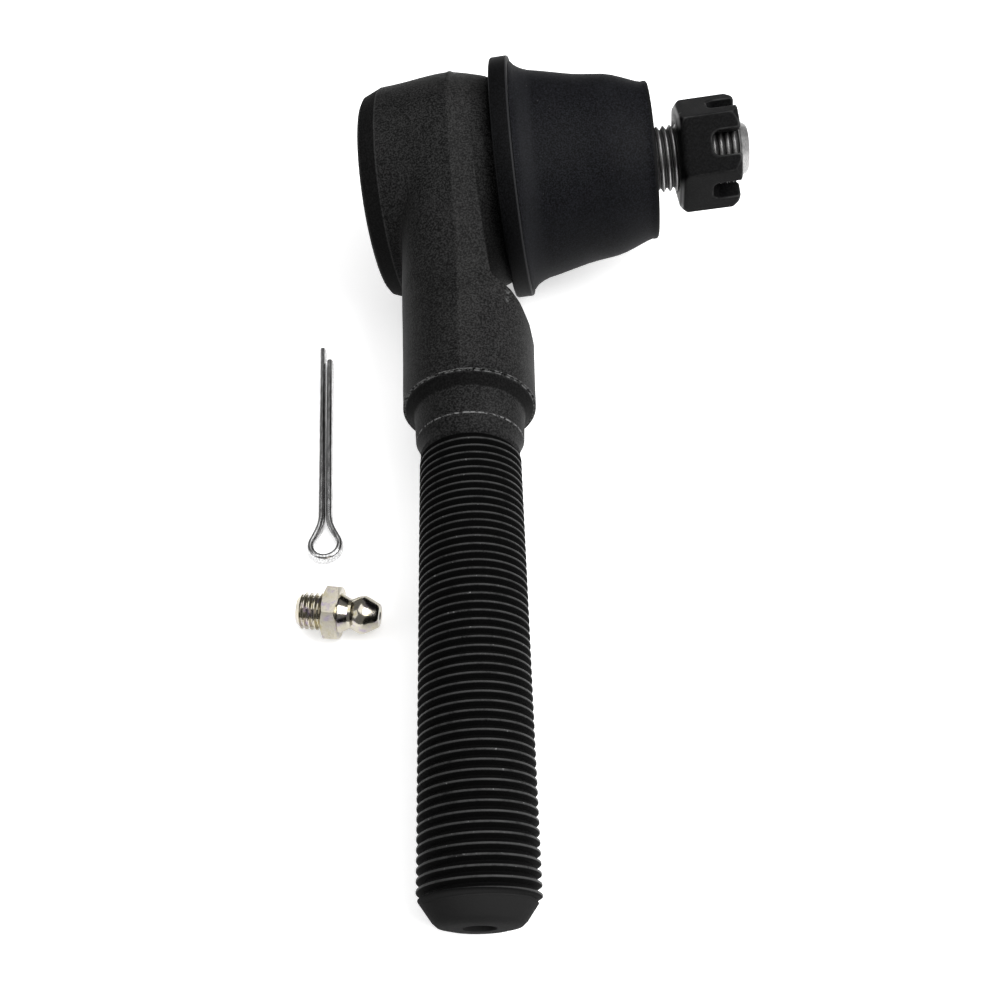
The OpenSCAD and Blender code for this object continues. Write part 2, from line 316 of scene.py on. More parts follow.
# %% Helper: a finish
class Finish:
    """A material that is built node by node on the object's own coordinates."""

    def __init__(self, name):
        self.material = bpy.data.materials.new(name)
        self.material.use_nodes = True
        self.tree = self.material.node_tree
        self.tree.nodes.clear()
        self.place = self.node("ShaderNodeTexCoord", out="Object")

    def node(self, kind, inputs=None, out=0, **settings):
        """Adds one node: its settings first, then the values or links of its sockets."""
        node = self.tree.nodes.new(kind)
        for name, value in settings.items():
            setattr(node, name, value)
        for name, value in (inputs or {}).items():
            plug(self.tree, node.inputs[name], value)
        return Wire(self.tree, node.outputs[out])

    def along(self, axis):
        """The distance from the ball's centre along one axis, in millimetres."""
        return self.node("ShaderNodeSeparateXYZ", {"Vector": self.place}, out="XYZ".index(axis)) * (1 / MM)

    def stretched(self, factors):
        """The place, squeezed along each axis, so that a pattern stretches along the others."""
        return self.node("ShaderNodeVectorMath", {0: self.place, 1: factors}, operation="MULTIPLY")

    def noise(self, size, detail=3, rough=0.5, place=None):
        """Cloudy noise from 0 to 1 whose lumps are so many millimetres across."""
        return self.node("ShaderNodeTexNoise", {
            "Vector": place or self.place, "Scale": 1 / (size * MM), "Detail": detail,
            "Roughness": rough})

    def fade(self, value, low, high):
        """0 below low, 1 above high, and a soft ramp between."""
        return self.node("ShaderNodeMapRange", {"Value": value, "From Min": low, "From Max": high},
                         interpolation_type="SMOOTHSTEP")

    def band(self, value, centre, half, soft):
        """1 within half of the centre, fading to 0 over the soft width."""
        return 1 - self.fade(abs(value - centre), half, half + soft)

    def mix(self, factor, first, second):
        """One colour turning into another."""
        return self.node("ShaderNodeMix", {0: factor, 6: first, 7: second}, out=2, data_type="RGBA")

    def outer_edges(self, low=0.53, high=0.6):
        """1 on the outer edges of the mesh, 0 elsewhere."""
        sharp = self.node("ShaderNodeNewGeometry", out="Pointiness")
        return self.fade(sharp, low, high)

    def bump(self, height, depth, strength=1.0, under=None):
        """A normal from a height of 0 to 1 that is so many millimetres deep."""
        inputs = {"Height": height, "Distance": depth * MM, "Strength": strength}
        if under:
            inputs["Normal"] = under
        return self.node("ShaderNodeBump", inputs)

    def finish(self, **values):
        """The surface shader and the output. Names with spaces are written with underscores."""
        shader = self.node("ShaderNodeBsdfPrincipled",
                           {name.replace("_", " "): value for name, value in values.items()})
        self.node_to_output(shader)
        return self.material

    def node_to_output(self, shader):
        output = self.tree.nodes.new("ShaderNodeOutputMaterial")
        self.tree.links.new(shader.socket, output.inputs["Surface"])


def grey(level, warm=0.0, cool=0.0):
    """A near-grey colour with a little warmth or coolness."""
    return (level * (1 + warm), level, level * (1 - warm + cool), 1)


# %% [markdown]
# ## Finish: black coated forging
#
# The housing is a hot forging, blasted and dipped in black paint. Seen close it is not one black: grains
# of scale a few tenths of a millimetre across catch the light, hands and boxes have rubbed it lighter in
# cloudy patches, and the coat is thin on every edge. Light and shade are painted in too: the neck's right
# shoulder and a band right of the parting line are painted lighter as highlight, the socket's back facet
# is painted darker as shade, a band on the neck's chamfer is darker, and the pale lines on the neck's end
# and the collar's edge are partly wear and partly painted highlight. The rolled thread's crests are
# painted grey, partly as wear and partly as highlight, and the thread stays black in its roots, so a mask
# of the distance from the shank's axis picks the crests out.

# %% Finish: black coated forging
THREAD_FROM, THREAD_ROOT, THREAD_CREST = 66.5, 8.56, 8.70
NECK_LIP, COLLAR_LIP, NECK_CHAMFER = 56.1, 63.3, 57.2       # along the shank
SHANK_END_FADE = (138.4, 139.0)
RIM_EDGE, RIM_FADE = -14.0, (-14.3, -14.1)                  # along the stud


def forging_black():
    f = Finish("forging_black")
    x, s, z = f.along("X"), 0 - f.along("Y"), f.along("Z")
    grain, clouds, flecks = f.noise(0.32, 3, 0.6), f.noise(7, 4, 0.6), f.noise(0.7, 2, 0.7)
    streaks = f.noise(1.1, 3, 0.6, f.stretched((1, 0.12, 1)))
    radius = (x * x + z * z) ** 0.5
    on_thread = f.fade(s, THREAD_FROM, THREAD_FROM + 0.4)
    # the crests are painted grey, partly as wear and partly as painted highlight
    crest = f.fade(radius, THREAD_ROOT, THREAD_CREST) * on_thread
    # painted highlight: a lighter band on the draft face right of the parting line, which faces the key
    # lamp
    parting_side_highlight = f.fade(x, -0.4, 0.5) * (1 - f.fade(x, 2.5, 5.5)) * (1 - f.fade(s, 52, 56))
    edge = f.outer_edges(0.535, 0.62) * (1 - on_thread)
    # pale flecked lines on the neck's end and the collar's edge, partly edge wear and partly painted
    # highlight
    lips = f.band(s, NECK_LIP, 0.03, 0.12) + f.band(s, COLLAR_LIP, 0.03, 0.14)
    # painted highlight: the neck's right shoulder, which faces the key lamp, is painted lighter
    shoulder_highlight = f.fade(x, 3, 8) * f.fade(s, 20, 32) * (1 - f.fade(s, 50, 56))
    # painted shade: the socket's back facet, which faces away from the key lamp, is painted darker; a band
    # on the neck's chamfer is darker too
    shaded_facet_and_dark_chamfer = 1 - f.fade(x, *RIM_FADE) + f.band(s, NECK_CHAMFER, 0.7, 0.3)
    # real rubbing in clouds and streaks, plus the painted highlights of the parting band and the shoulder
    rubbed_and_highlit = (f.fade(clouds, 0.42, 0.75) * 0.4 + f.fade(streaks, 0.5, 0.8) * 0.3 + parting_side_highlight * 0.6
              + shoulder_highlight * 0.5)
    light_grain = f.mix(f.fade(grain, 0.38, 0.66), grey(0.010, 0.01), grey(0.034, 0.01))
    coat = f.mix(f.fade(grain, 0.38, 0.66), grey(0.0008), grey(0.021))
    coat = f.mix(rubbed_and_highlit * (1 - on_thread) * 0.8, coat, light_grain)
    coat = f.mix(shaded_facet_and_dark_chamfer * 0.7, coat, grey(0.0006))
    coat = f.mix(f.band(x, RIM_EDGE, 0.03, 0.2) * f.fade(flecks, 0.3, 0.6) * 0.5, coat, grey(0.05))
    coat = f.mix(f.fade(flecks, 0.70, 0.78) * 0.5, coat, grey(0.05))
    coat = f.mix(edge * f.fade(flecks, 0.35, 0.65) * 0.7, coat, grey(0.12))
    coat = f.mix(lips * f.fade(flecks, 0.4, 0.6) * 0.8 * (1 - on_thread), coat, grey(0.20))
    coat = f.mix(on_thread * (1 - crest) * 0.95, coat, grey(0.0004))
    coat = f.mix(crest * f.fade(f.noise(2.5, 4, 0.7), 0.2, 0.6), coat, grey(0.040))
    coat = f.mix(crest * f.fade(flecks, 0.66, 0.76) * 0.7, coat, grey(0.22))
    coat = f.mix(f.fade(s, *SHANK_END_FADE) * 0.7, coat, grey(0.022))
    gloss = (0.56 - rubbed_and_highlit * 0.06 - crest * 0.2 - edge * 0.12 + grain * 0.12 + shaded_facet_and_dark_chamfer * 0.2
             + (on_thread - crest) * 0.3)
    rough_skin = f.bump(f.noise(2.6, 3, 0.6), 0.10, 0.35)
    return f.finish(Base_Color=coat, Roughness=gloss, Specular_IOR_Level=0.08,
                    Normal=f.bump(grain, 0.06, 0.75, rough_skin))


FORGING = forging_black()
print("finish:", FORGING.name, len(FORGING.node_tree.nodes), "nodes")

# %% [markdown]
# ## Finish: rubber, with and without painted highlights on the rim
#
# The boot is moulded in black rubber that looks slightly blue. Its skin has a very fine even grain and a
# dusty bloom in clouds, and a lighter band round its foot is painted highlight. The retaining flange is
# the same black, and its corners carry thin pale lines of painted highlight.

# %% Finish: rubber
def boot_rubber():
    f = Finish("boot_rubber")
    grain, clouds, specks = f.noise(0.28, 2, 0.6), f.noise(9, 3, 0.6), f.noise(0.55, 1, 0.5)
    colour = f.mix(f.fade(grain, 0.35, 0.7), grey(0.0008, -0.04, 0.25), grey(0.010, -0.04, 0.22))
    colour = f.mix(f.fade(clouds, 0.5, 0.8) * 0.4, colour, grey(0.014, -0.03, 0.12))
    # painted highlight: a lighter band round the boot's foot near the flange, where its curve catches the
    # light
    colour = f.mix(f.band(f.along("X"), 14.0, 0.6, 1.6) * 0.4, colour, grey(0.014, -0.03, 0.1))
    colour = f.mix(f.fade(specks, 0.76, 0.84) * 0.5, colour, grey(0.06))
    colour = f.mix(f.fade(f.along("X"), 36.9, 37.5) * 0.8, colour, grey(0.004))
    return f.finish(Base_Color=colour, Roughness=0.54 + clouds * 0.16, Specular_IOR_Level=0.06,
                    Normal=f.bump(grain, 0.03, 0.5))


def flange_black():
    f = Finish("flange_black")
    grain, specks = f.noise(0.28, 2, 0.6), f.noise(0.8, 2, 0.6)
    x, y, z = f.along("X"), f.along("Y"), f.along("Z")
    proud = f.fade((y * y + z * z) ** 0.5, 22.9, 23.2)
    # painted highlight: thin pale lines on the flange's two outer corners
    corner = (f.band(x, 11.5, 0.08, 0.16) + f.band(x, 8.3, 0.05, 0.12) * 0.4) * proud
    colour = f.mix(f.fade(grain, 0.35, 0.7), grey(0.0006, -0.03, 0.1), grey(0.005, -0.03, 0.1))
    colour = f.mix(corner * 0.5, colour, grey(0.035, 0, 0.06))
    colour = f.mix(f.fade(specks, 0.75, 0.8) * 0.4, colour, grey(0.10))
    return f.finish(Base_Color=colour, Roughness=0.52 + grain * 0.12 - corner * 0.12,
                    Specular_IOR_Level=0.05, Normal=f.bump(grain, 0.03, 0.5))


RUBBER, FLANGE = boot_rubber(), flange_black()
print("finishes:", RUBBER.name, FLANGE.name)

# %% [markdown]
# ## Finish: blackened nut
#
# The nut has a satin black oxide skin. Where it was turned after blackening, on the bevel that meets the
# arm, it is bare grey steel, but the middle of that bevel, as the camera sees it, is kept black as painted
# shade. Its corners are rubbed and painted pale, partly as highlight.

# %% Finish: blackened nut
def nut_black():
    f = Finish("nut_black")
    grain, clouds = f.noise(0.35, 3, 0.6), f.noise(4, 3, 0.6)
    x, y, z = f.along("X"), f.along("Y"), f.along("Z")
    # bare turned steel on the bearing bevel; across its middle, as the camera sees it, it is kept black as
    # painted shade
    bare_outside_painted_shade = (1 - f.fade(x, 42.75, 43.2)) * f.fade(abs(y + z), 6, 10)
    # pale corners, partly rubbing and partly painted highlight
    corner = f.outer_edges(0.508, 0.535) * f.fade(clouds, 0.3, 0.7)
    colour = f.mix(f.fade(grain, 0.35, 0.7), grey(0.001, 0, 0.06), grey(0.006, 0, 0.06))
    colour = f.mix(corner * 0.6, colour, grey(0.07))
    colour = f.mix(bare_outside_painted_shade * 0.9, colour, grey(0.55))
    return f.finish(Base_Color=colour, Roughness=0.46 + clouds * 0.14, Metallic=bare_outside_painted_shade * 0.6 + corner * 0.2,
                    Specular_IOR_Level=0.06, Normal=f.bump(grain, 0.03, 0.5))


NUT = nut_black()
print("finish:", NUT.name)

# %% [markdown]
# ## Finishes: bare, bright and plated metal
#
# Three bare metals differ in how they were made. The stud is turned steel, dull, with oil and grime in
# the roots of its thread. The cotter pin is drawn wire, bright, with fine scratches along its length.
# The fitting is plated, warm, and stained faintly yellow and violet by the passivation.

# %% Finishes: bare, bright and plated metal
def stud_steel():
    f = Finish("stud_steel")
    x, y, z = f.along("X"), f.along("Y"), f.along("Z")
    lathe, clouds = f.noise(0.5, 3, 0.6, f.stretched((6, 1, 1))), f.noise(2.2, 4, 0.65)
    root = 1 - f.fade((y * y + z * z) ** 0.5, 5.65, 6.15)
    grime = root * f.fade(x, 36.4, 36.8) * (1 - f.fade(x, 54.5, 54.8))
    colour = f.mix(f.fade(lathe, 0.3, 0.7), grey(0.22), grey(0.42, 0.01))
    colour = f.mix(f.fade(clouds, 0.5, 0.75) * 0.6, colour, grey(0.12, 0.03))
    colour = f.mix(grime * 0.85, colour, grey(0.015))
    return f.finish(Base_Color=colour, Roughness=0.30 + clouds * 0.16 + grime * 0.2, Metallic=0.95,
                    Normal=f.bump(lathe, 0.012, 0.5))


def pin_steel():
    f = Finish("pin_steel")
    turned_back = f.node("ShaderNodeMapping", {"Vector": f.place, "Rotation": (0, 0, math.radians(-3.7)),
                                               "Scale": (1, 0.06, 1)})
    scratches, clouds = f.noise(0.25, 3, 0.7, turned_back), f.noise(3, 3, 0.6)
    colour = f.mix(f.fade(scratches, 0.3, 0.75), grey(0.30), grey(0.85))
    colour = f.mix(f.fade(clouds, 0.55, 0.8) * 0.4, colour, grey(0.28, 0.03))
    return f.finish(Base_Color=colour, Roughness=0.10 + scratches * 0.12, Metallic=1.0,
                    Normal=f.bump(scratches, 0.01, 0.5))


def fitting_plate():
    f = Finish("fitting_plate")
    stain, fine = f.noise(1.8, 3, 0.6), f.noise(0.3, 3, 0.6)
    colour = f.mix(f.fade(stain, 0.52, 0.7), (0.46, 0.43, 0.36, 1), (0.38, 0.33, 0.40, 1))
    colour = f.mix(1 - f.fade(stain, 0.3, 0.46), colour, (0.42, 0.37, 0.22, 1))
    colour = f.mix(f.fade(fine, 0.55, 0.8) * 0.4, colour, grey(0.16, 0.05))
    return f.finish(Base_Color=colour, Roughness=0.08 + fine * 0.14, Metallic=1.0,
                    Normal=f.bump(fine, 0.008, 0.4))


STUD, PIN, FITTING = stud_steel(), pin_steel(), fitting_plate()
print("finishes:", STUD.name, PIN.name, FITTING.name)

# %% [markdown]
# ## Finishes for the pieces inside
#
# The bearing halves, the preload spring, its washer, the boot's end ring and the fitting's check ball are
# hidden or nearly so. They keep the shape that the engineering model gives them, and still get a finish
# of their own, because the part can be opened up.

# %% Finishes for the pieces inside
def hidden_finish(name, dark, light, metal, rough, size):
    f = Finish(name)
    fine, clouds = f.noise(size, 3, 0.6), f.noise(size * 12, 3, 0.6)
    colour = f.mix(f.fade(fine, 0.3, 0.7), dark, light)
    colour = f.mix(f.fade(clouds, 0.5, 0.8) * 0.4, colour, dark)
    return f.finish(Base_Color=colour, Roughness=rough + fine * 0.12, Metallic=metal,
                    Normal=f.bump(fine, 0.01, 0.5))


HIDDEN = {
    "upper_bearing": hidden_finish("bearing_plastic", grey(0.55, 0.05), grey(0.66, 0.06), 0.0, 0.42, 0.4),
    "spring_washer": hidden_finish("spring_steel", grey(0.18), grey(0.36), 1.0, 0.34, 0.3),
    "fitting_check_ball": hidden_finish("ball_steel", grey(0.45), grey(0.60), 1.0, 0.14, 0.3),
}
HIDDEN["ball_seat"] = HIDDEN["upper_bearing"]
for name in ("preload_spring", "boot_end_ring"):
    HIDDEN[name] = HIDDEN["spring_washer"]
for name, material in HIDDEN.items():
    for material_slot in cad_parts[name].material_slots:
        material_slot.material = material
print("finished inside:", ", ".join(HIDDEN))

# %% [markdown]
# ## The forging: socket and neck
#
# The housing starts as one hot forging: a short round socket, and a neck that is tall where it leaves
# the socket and round where the shank begins. The socket is turned and the neck is a loft of rounded
# sections. A voxel remesh melts the two into one skin, and smoothing gives the soft fillets of forged
# steel, which no bevel would find by itself. A low ridge is left where the dies met.

# %% The socket's outside
SOCKET = [(0, -18.3), (18.6, -18.3), (20.2, -17.6), (20.9, -16.2), (21.0, -14.2), (21.1, -12),
          (21.35, -9), (21.75, -5.5), (21.98, -2.5), (22.0, 0), (21.35, 3), (20.56, 5.9),
          (20.1, 7.2), (19.7, 7.7), (15.0, 7.7), (15.0, 10.5), (0, 10.5)]

forging = lay(turned("housing_forged", SOCKET, 128), ALONG_STUD)
print("socket:", [round(size / MM, 1) for size in forging.dimensions], "mm")

# %% [markdown]
# The neck's sections are drawn one after another. Each new one is extruded from the last, and its points
# are then moved onto the next outline: a rounded rectangle near the socket, a circle near the shank.

# %% The neck
NECK = [(3, 10.6, 20.6, 3.6), (9, 11.0, 19.9, 3.5), (16, 11.3, 17.1, 3.3), (22, 11.7, 14.8, 2.9),
        (27, 12.0, 13.1, 2.6), (33, 12.2, 12.3, 2.2), (40, 12.1, 12.1, 2.0), (48, 11.9, 11.9, 2.0),
        (58, 11.72, 11.72, 2.0)]          # along the shank, half width, half height, squareness
NECK_POINTS = 64


def put_on_outline(obj, section):
    """Moves the selected ring of points onto a rounded outline."""
    along, half_wide, half_high, squareness = section
    mesh = bmesh.from_edit_mesh(obj.data)
    for point in [point for point in mesh.verts if point.select]:
        angle = math.atan2(point.co.y, point.co.x)
        across, up = math.cos(angle), math.sin(angle)
        reach = (abs(across) ** squareness + abs(up) ** squareness) ** (-1 / squareness)
        point.co = Vector((reach * across * half_wide, reach * up * half_high, along)) * MM
    bmesh.update_edit_mesh(obj.data)


bpy.ops.object.select_all(action="DESELECT")
bpy.ops.mesh.primitive_circle_add(vertices=NECK_POINTS, radius=10 * MM, fill_type="NGON")
neck = bpy.context.object
bpy.ops.object.mode_set(mode="EDIT")
put_on_outline(neck, NECK[0])
for section in NECK[1:]:
    bpy.ops.mesh.extrude_region_move()
    # the ring is first drawn back to a circle, so that every point keeps its own angle
    ring = bmesh.from_edit_mesh(neck.data)
    for point in [point for point in ring.verts if point.select]:
        point.co.z = 0
    previous = NECK[NECK.index(section) - 1]
    for point in [point for point in ring.verts if point.select]:
        point.co.x, point.co.y = point.co.x / previous[1], point.co.y / previous[2]
    put_on_outline(neck, section)
bpy.ops.object.mode_set(mode="OBJECT")
lay(tidy(neck), ALONG_SHANK)
combine(forging, "UNION", neck)
print("neck:", len(NECK), "sections")

# %% The forged skin
VOXEL = 0.45
FLASH_HIGH, FLASH_WIDE = 0.22, 0.9        # the ridge where the dies met

modify(forging, "REMESH", mode="VOXEL", voxel_size=VOXEL * MM)
modify(forging, "SMOOTH", factor=0.5, iterations=6)
dies = bpy.data.textures.new("forging_scale", type="CLOUDS")
dies.noise_scale = 0.006
modify(forging, "DISPLACE", texture=dies, texture_coords="LOCAL", strength=0.10 * MM, mid_level=0.5)

only(forging)
bpy.ops.object.mode_set(mode="EDIT")
skin = bmesh.from_edit_mesh(forging.data)
for point in skin.verts:
    near = 1 - abs(point.co.x) / (FLASH_WIDE * MM)
    if near > 0:
        point.co += point.normal * near * near * FLASH_HIGH * MM
bmesh.update_edit_mesh(forging.data)
bpy.ops.object.mode_set(mode="OBJECT")
print("forged skin:", len(forging.data.polygons), "faces")

# %% [markdown]
# ## Machining the forging
#
# A lathe then cuts what has to be exact, and its cuts stay sharp against the soft skin: the cavity for
# the ball, the flat behind the boot's flange, and the square end of the neck. Each cutter is itself a
# turned solid, taken away with a Boolean.

# %% Machining the forging
RECESS = [(21.0, 4.2), (28, 5.0), (34, 5.6), (36.0, 5.9), (37.0, 6.6), (37.4, 7.7), (37.8, 9.1),
          (38.9, 10.5), (41, 11.7), (45, 12.4), (45, 20), (19.7, 20), (19.9, 7.8), (20.3, 7.2),
          (20.75, 5.9)]
RIM = [(21.54, -12.5), (20.87, -14.2), (19.85, -16.8), (19.7, -17.2), (18.9, -17.75), (17.4, -17.95),
       (16.2, -17.98), (16.2, -19.5), (24, -19.5), (24, -12.5)]
CAVITY = [(0, -20), (16.4, -20), (16.4, -17.45), (17.2, -17.35), (17.2, -16.2), (15.6, -16.2),
          (15.6, 6.0), (10.4, 6.0), (10.4, 7.7), (12.2, 10.5), (12.2, 12), (0, 12)]
NECK_END = 56.1

recess = lay(turned("recess_cutter", RECESS, 192), ALONG_STUD)
cavity = lay(turned("cavity_cutter", CAVITY, 128), ALONG_STUD)
rim = lay(turned("rim_cutter", RIM, 160), ALONG_STUD)
parting_off = lay(turned("end_cutter", [(0, NECK_END), (16, NECK_END), (16, 70), (0, 70)]), ALONG_SHANK)
combine(forging, "DIFFERENCE", recess, cavity, rim, parting_off)
print("machined:", len(forging.data.polygons), "faces")

# %% [markdown]
# ## The shank
#
# Below the neck come two collars, then fifty turns of rolled thread. The thread is a real helix: one
# tooth's outline, swept by the Screw modifier, united with its core, and kept only inside a turned
# outline, so that it starts and ends the way a die and a chamfering tool leave it.

# %% The shank
COLLARS = [(0, 50), (11.45, 50), (11.45, 56.0), (9.75, 58.15), (9.62, 58.5), (9.4, 63.1), (9.3, 63.3),
           (8.62, 64.7), (8.55, 66.0), (8.0, 66.7), (8.0, 68), (0, 68)]
SHANK_OUTLINE = [(0, 62), (8.0, 62), (8.0, 66.4), (8.72, 67.2), (8.72, 138.3), (6.55, 141.3),
                 (5.9, 141.85), (4.6, 142.15), (0, 142.2)]
SHANK_PITCH = 25.4 / 18
CENTRE_HOLE = [(0, 137), (1.9, 137.6), (1.9, 141.0), (2.35, 142.1), (2.6, 143), (0, 143)]

shank = threaded("shank", SHANK_R, SHANK_PITCH, SHANK_OUTLINE, 72)
combine(shank, "UNION", turned("collars", COLLARS))
combine(shank, "DIFFERENCE", turned("centre_drill", CENTRE_HOLE, 48))
lay(shank, ALONG_SHANK)
combine(forging, "UNION", shank)
housing = forging
housing.name = "forged_housing"
housing.data.materials.clear()
housing.data.materials.append(FORGING)
smooth(tidy(housing), 32)
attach(housing, "housing")
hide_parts("housing")
print("housing:", len(housing.data.polygons), "faces")

# %% [markdown]
# ## The cover plate
#
# A pressed disc closes the back of the socket, and the socket's rim is rolled over it. It is turned with
# a shallow dish and a boss, and a threaded cutter leaves the port for the fitting.

# %% The cover plate
COVER = [(0, -17.35), (3.6, -17.35), (4.4, -17.3), (4.75, -17.0), (13.6, -17.0), (14.6, -17.35),
         (17.15, -17.35), (17.15, -16.25), (5.2, -16.25), (4.8, -15.8), (4.8, -14.4), (0, -14.4)]
PORT_PITCH, PORT_R = 25.4 / 28, 3.175

cover = turned("cover", COVER)
tap = threaded("tap", PORT_R, PORT_PITCH, [(0, -20), (PORT_R, -20), (PORT_R, -12), (0, -12)], 48)
combine(cover, "DIFFERENCE", tap)
lay(cover, ALONG_STUD)
cover.name = "pressed_cover"
cover.data.materials.clear()
cover.data.materials.append(FORGING)
smooth(tidy(cover), 30)
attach(cover, "housing")
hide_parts("cover_plate")
print("cover:", len(cover.data.polygons), "faces")

# %% [markdown]
# ## The flange and the boot
#
# The boot's wide end is clamped by a flange that stands proud of the socket all round. The boot is a
# shell, so its outline runs down the outside and back up the inside. Its wide end sits at the seat and its
# narrow end on the stud.

# %% The flange and the boot
FLANGE_RING = [(15.05, 8.1), (23.4, 8.1), (23.4, 11.7), (15.05, 11.7)]
BOOT_OUTSIDE = [(22.35, 11.75), (22.1, 12.1), (21.5, 12.6), (21.0, 13.3), (20.55, 14.2), (20.2, 15.2),
                (19.72, 17.5), (19.25, 19.5), (18.75, 21.6), (18.3, 23.6), (17.98, 25.6), (17.75, 27.6),
                (17.5, 29.5), (17.05, 31.2), (16.5, 32.7), (15.9, 34.2), (15.35, 35.6), (15.05, 36.6),
                (15.12, 37.0), (15.1, 37.5), (14.8, 37.75), (14.3, 37.8)]
BOOT_INSIDE = [(7.3, 37.8), (7.3, 35.3), (13.0, 35.1), (13.9, 34.0), (14.7, 32.3), (15.4, 30.4),
               (15.9, 28.0), (16.3, 25.0), (17.2, 21.0), (18.1, 16.5), (18.9, 13.6), (19.3, 11.75)]

flange = turned("boot_flange_ring", FLANGE_RING, 160)
round_edges(flange, 0.45, 60, 3)
lay(flange, ALONG_STUD)
flange.data.materials.append(FLANGE)
smooth(tidy(flange), 40)
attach(flange, "housing")
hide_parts("boot_flange")

boot = turned("rubber_boot", BOOT_OUTSIDE + BOOT_INSIDE, 160)
lay(boot, ALONG_STUD)
boot.data.materials.append(RUBBER)
smooth(tidy(boot), 50)
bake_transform(boot)
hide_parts("dust_boot")
print("boot:", len(boot.data.polygons), "faces; flange:", len(flange.data.polygons), "faces")

# %% [markdown]
# ## The ball stud
#
# Ball, neck, taper and thread are one turned piece. The ball is given as points on its own arc, so that
# it meets the neck exactly. The thread is made like the shank's, and the hole for the cotter pin is
# drilled last, across the stud and in line with two of the nut's slots.

# %% The ball stud
BALL_R, STUD_R, STUD_PITCH = 11.9, 6.35, 25.4 / 20
NUT_TURN = 8                              # degrees about the stud
HOLE_X, HOLE_R = 51.3, 1.4
SHOULDER = [(6.4, 10.1), (6.4, 15.6), (6.7, 16.0), (7.9, 16.9), (8.0, 17.2), (6.81, 36.0), (6.2, 36.4),
            (5.75, 36.6), (5.75, 38), (0, 38)]
STUD_OUTLINE = [(0, 36), (5.5, 36), (5.5, 36.6), (6.34, 37.4), (6.34, 53.9), (5.3, 54.8), (4.6, 56.0),
                (4.3, 56.2), (0, 56.2)]

BALL_STEPS = 40
ball_end = math.pi - math.asin(6.4 / BALL_R)
ball_arc = [(BALL_R * math.sin(step * ball_end / BALL_STEPS),
             -BALL_R * math.cos(step * ball_end / BALL_STEPS)) for step in range(BALL_STEPS + 1)]
stud = threaded("stud_thread", STUD_R, STUD_PITCH, STUD_OUTLINE, 64)
combine(stud, "UNION", turned("stud_body", [(0, ball_arc[0][1])] + ball_arc[1:] + SHOULDER, 96))
lay(stud, ALONG_STUD)
drill = turned("drill", [(0, -10), (HOLE_R, -10), (HOLE_R, 10), (0, 10)], 32)
lay(drill, Matrix.Translation((HOLE_X * MM, 0, 0)) @ Matrix.Rotation(math.radians(NUT_TURN - 90), 4, "X"))
combine(stud, "DIFFERENCE", drill)
stud.name = "threaded_stud"
stud.data.materials.clear()
stud.data.materials.append(STUD)
smooth(tidy(stud), 30)
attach(stud, "stud")
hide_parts("ball_stud")
print("stud:", len(stud.data.polygons), "faces")

# %% [markdown]
# ## The castle nut
#
# A castle nut is a hexagon with six slots in its far end. A six-sided cylinder is kept inside a turned
# outline, which chamfers all its corners at once. Three slot cutters, each with a rounded bottom, go
# right across and make six slots. A fine voxel remesh and some smoothing then soften every edge, as
# tumbling softens a real nut, and the bore is cut last, so that it stays sharp.

# %% The castle nut's sizes
NUT_AF, NUT_FROM, NUT_TO = 19.05, 42.4, 54.15
SLOT_WIDE, SLOT_DEEP = 4.6, 5.4
SLOT_ROUND = 0.3 * SLOT_WIDE              # radius of a slot's lower corners
BAR_LONG, BAR_TALL = 30, 10               # of the bar that cuts two slots at once
NUT_FOOT = 1.5                            # bevel round the bearing face
SPARE = 2                                 # extra height that the outline trims off
NUT_BORE, NUT_VOXEL = 6.42, 0.22
corner_r = NUT_AF / 2 / math.cos(math.radians(30))
NUT_OUTLINE = [(0, NUT_FROM), (9.3, NUT_FROM), (corner_r + 0.1, NUT_FROM + 1.5),
               (corner_r + 0.1, NUT_TO - 1.6), (corner_r - 1.0, NUT_TO - 0.2), (9.3, NUT_TO), (0, NUT_TO)]
NUT_HOLE = [(0, NUT_FROM - 1), (7.6, NUT_FROM - 1), (7.3, NUT_FROM), (NUT_BORE, NUT_FROM + 0.9),
            (NUT_BORE, NUT_TO - 0.5), (7.0, NUT_TO), (7.6, NUT_TO + 1), (0, NUT_TO + 1)]
print("nut:", NUT_AF, "mm across flats,", round(2 * corner_r, 1), "mm across corners")


# %% Helpers: a bevel on chosen edges, and the bar that cuts the slots
def bevel_where(obj, chosen, width, segments):
    """Bevels the edges that a test on their two ends picks out, as by selecting them in Edit Mode."""
    only(obj)
    bpy.ops.object.mode_set(mode="EDIT")
    bpy.ops.mesh.select_all(action="DESELECT")
    bpy.ops.mesh.select_mode(type="EDGE")
    mesh = bmesh.from_edit_mesh(obj.data)
    for edge in mesh.edges:
        edge.select = chosen(*[point.co / MM for point in edge.verts])
    bmesh.update_edit_mesh(obj.data)
    bpy.ops.mesh.bevel(offset=width * MM, segments=segments)
    bpy.ops.mesh.select_mode(type="VERT")
    bpy.ops.object.mode_set(mode="OBJECT")


def slot_cutter(turn):
    """A bar with a rounded underside, lying across the nut."""
    bpy.ops.object.select_all(action="DESELECT")
    bpy.ops.mesh.primitive_cube_add(size=1, location=(0, 0, (NUT_TO - SLOT_DEEP + BAR_TALL / 2) * MM))
    bar = bpy.context.object
    bar.scale = (SLOT_WIDE * MM, BAR_LONG * MM, BAR_TALL * MM)
    bpy.ops.object.transform_apply(location=True, rotation=True, scale=True)
    bevel_where(bar, lambda a, b: max(a.z, b.z) < NUT_TO and abs(a.y - b.y) > 1, SLOT_ROUND, 6)
    return lay(bar, Matrix.Rotation(math.radians(turn), 4, "Z"))


